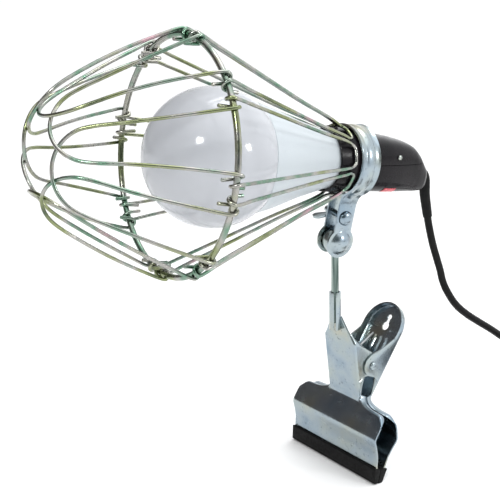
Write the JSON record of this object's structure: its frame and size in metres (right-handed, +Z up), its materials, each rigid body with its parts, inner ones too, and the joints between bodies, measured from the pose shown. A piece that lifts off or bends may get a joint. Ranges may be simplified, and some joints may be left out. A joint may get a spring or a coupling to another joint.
{
  "type": "clip-on guarded lamp fixture",
  "caption": "Clip-on work lamp: spring clip, ball-jointed clamp band, screw-in LED bulb in a wire guard, black rear cover and coiled cord with plug.",
  "frame": {"origin": "middle of the line where the two jaw pads meet, at the foot of the spring clip", "axes": "+X along the jaws towards the side of the clamp bolt's head, -Y the way the lamp looks, +Z up along the stem rod"},
  "size_m": [0.2119, 0.4062, 0.2884],
  "materials": {
    "zinc_plate": "bright zinc plate with a faint iridescent passivation, on pressed sheet steel",
    "guard_zinc": "zinc plated steel wire, yellow and green tint",
    "spring_steel": "plain spring steel wire",
    "black_plastic": "moulded black plastic, half gloss",
    "black_rubber": "matt black rubber",
    "cord_rubber": "black cord sheath, satin",
    "plug_rubber": "moulded black plug, satin",
    "coil_tie": "black coated wire tie",
    "brass": "bright brass",
    "ceramic": "matt fired insulator",
    "bulb_diffuser": "white frosted diffuser",
    "bulb_housing": "white moulded housing, satin",
    "led_board": "white coated metal core board",
    "driver_board": "green circuit board with its parts",
    "bulb_cap": "bright nickelled cap",
    "core_black": "black core insulation",
    "core_white": "white core insulation"
  },
  "bodies": {
    "clip_frame": {"clip_front_jaw": "zinc_plate", "front_jaw_pad": "black_rubber", "pivot_pin": "zinc_plate", "clip_spring": "spring_steel", "stem_rod": "zinc_plate"},
    "rear_lever": {"clip_rear_jaw": "zinc_plate", "rear_jaw_pad": "black_rubber"},
    "ball": {"swivel_ball": "zinc_plate"},
    "lamp_head": {"guard_ring": "guard_zinc", "guard_front_loop_1": "guard_zinc", "guard_rear_loop_1": "guard_zinc", "guard_front_loop_2": "guard_zinc", "guard_rear_loop_2": "guard_zinc", "guard_front_loop_3": "guard_zinc", "guard_rear_loop_3": "guard_zinc", "guard_front_loop_4": "guard_zinc", "guard_rear_loop_4": "guard_zinc", "guard_front_loop_5": "guard_zinc", "guard_rear_loop_5": "guard_zinc", "guard_front_loop_6": "guard_zinc", "guard_rear_loop_6": "guard_zinc", "guard_front_loop_7": "guard_zinc", "guard_rear_loop_7": "guard_zinc", "guard_front_loop_8": "guard_zinc", "guard_rear_loop_8": "guard_zinc", "clamp_band": "zinc_plate", "clamp_bolt": "zinc_plate", "socket_body": "black_plastic", "threaded_shell": "brass", "centre_contact": "brass", "insulator_disc": "ceramic", "terminal_screw_1": "brass", "terminal_screw_2": "brass", "core_wire_1": "core_black", "core_wire_2": "core_white", "rear_cover_upper": "black_plastic", "rear_cover_lower": "black_plastic", "cover_screw": "zinc_plate", "strain_relief": "black_rubber", "cord": "cord_rubber", "cord_coil": "cord_rubber", "cord_tail": "cord_rubber", "coil_tie": "coil_tie", "plug_body": "plug_rubber", "plug_blade_1": "brass", "plug_blade_2": "brass"},
    "wing_nut": {"clamp_wing_nut": "zinc_plate"},
    "bulb_tip": {"bulb_tip_contact": "brass"},
    "bulb": {"bulb_globe": "bulb_diffuser", "bulb_housing": "bulb_housing", "led_board": "led_board", "driver_board": "driver_board", "bulb_cap": "bulb_cap"}
  },
  "joints": [
    {"name": "clip_open", "type": "hinge", "parent": "clip_frame", "child": "rear_lever", "pos_m": [0, 0.01812, 0.06761], "axis": [1, 0, 0], "range_deg": [0, 32], "stiffness_Nm_per_rad": 0.9, "springref_deg": -34.38, "deforming": ["clip_spring"]},
    {"name": "head_pan", "type": "hinge", "parent": "clip_frame", "child": "ball", "pos_m": [0, 0, 0.1518], "axis": [0, 0, 1], "range_deg": [-170, 170]},
    {"name": "head_tilt", "type": "hinge", "parent": "ball", "child": "lamp_head", "pos_m": [0, 0, 0.1518], "axis": [0.9872, -0.0961, -0.1275], "range_deg": [-25, 40]},
    {"name": "wing_nut_turn", "type": "hinge", "parent": "lamp_head", "child": "wing_nut", "pos_m": [0.00226, 0.00212, 0.1677], "axis": [0.9872, -0.0961, -0.1275], "range_deg": [-720, 0]},
    {"name": "bulb_travel", "type": "slide", "parent": "lamp_head", "child": "bulb_tip", "axis": [-0.0777, -0.9867, 0.1426], "range_m": [0, 0.0109]},
    {"name": "bulb_turn", "type": "hinge", "parent": "bulb_tip", "child": "bulb", "pos_m": [0.0072, 0.0067, 0.2023], "axis": [-0.0777, -0.9867, 0.1426], "range_deg": [0, 1080]}
  ],
  "couplings": [
    {"joint": "bulb_travel", "follows": "bulb_turn", "m_per_rad": 0.00057826}
  ]
}
